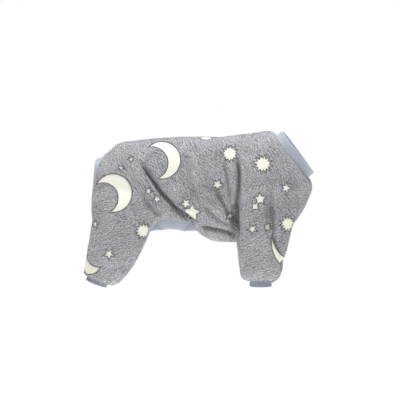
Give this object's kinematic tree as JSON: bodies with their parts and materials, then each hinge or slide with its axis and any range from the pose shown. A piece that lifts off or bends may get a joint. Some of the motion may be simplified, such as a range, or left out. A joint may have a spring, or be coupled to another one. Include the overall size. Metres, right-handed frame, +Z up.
{
  "type": "dog jumpsuit",
  "caption": "Plush fleece dog jumpsuit with four sleeves, ribbed cuffs, a ribbed neck band and a rib-bound belly and rump opening, in worn form.",
  "frame": {"origin": "on the inside of the back cloth, above the middle of the trunk, where the garment lies on the wearer", "axes": "+X to the neck, +Z up, and the wearer's right side at -Y"},
  "size_m": [0.3558, 0.145, 0.2442],
  "materials": {
    "fleece": "grey plush fleece",
    "rib_knit": "blue-grey rib knit"
  },
  "bodies": {
    "root": {"body": "fleece", "neck_band": "rib_knit", "opening_binding": "rib_knit", "right_sleeve": "fleece", "left_sleeve": "fleece", "right_leg": "fleece", "left_leg": "fleece", "right_sleeve_cuff": "rib_knit", "left_sleeve_cuff": "rib_knit", "right_leg_cuff": "rib_knit", "left_leg_cuff": "rib_knit"}
  },
  "joints": []
}
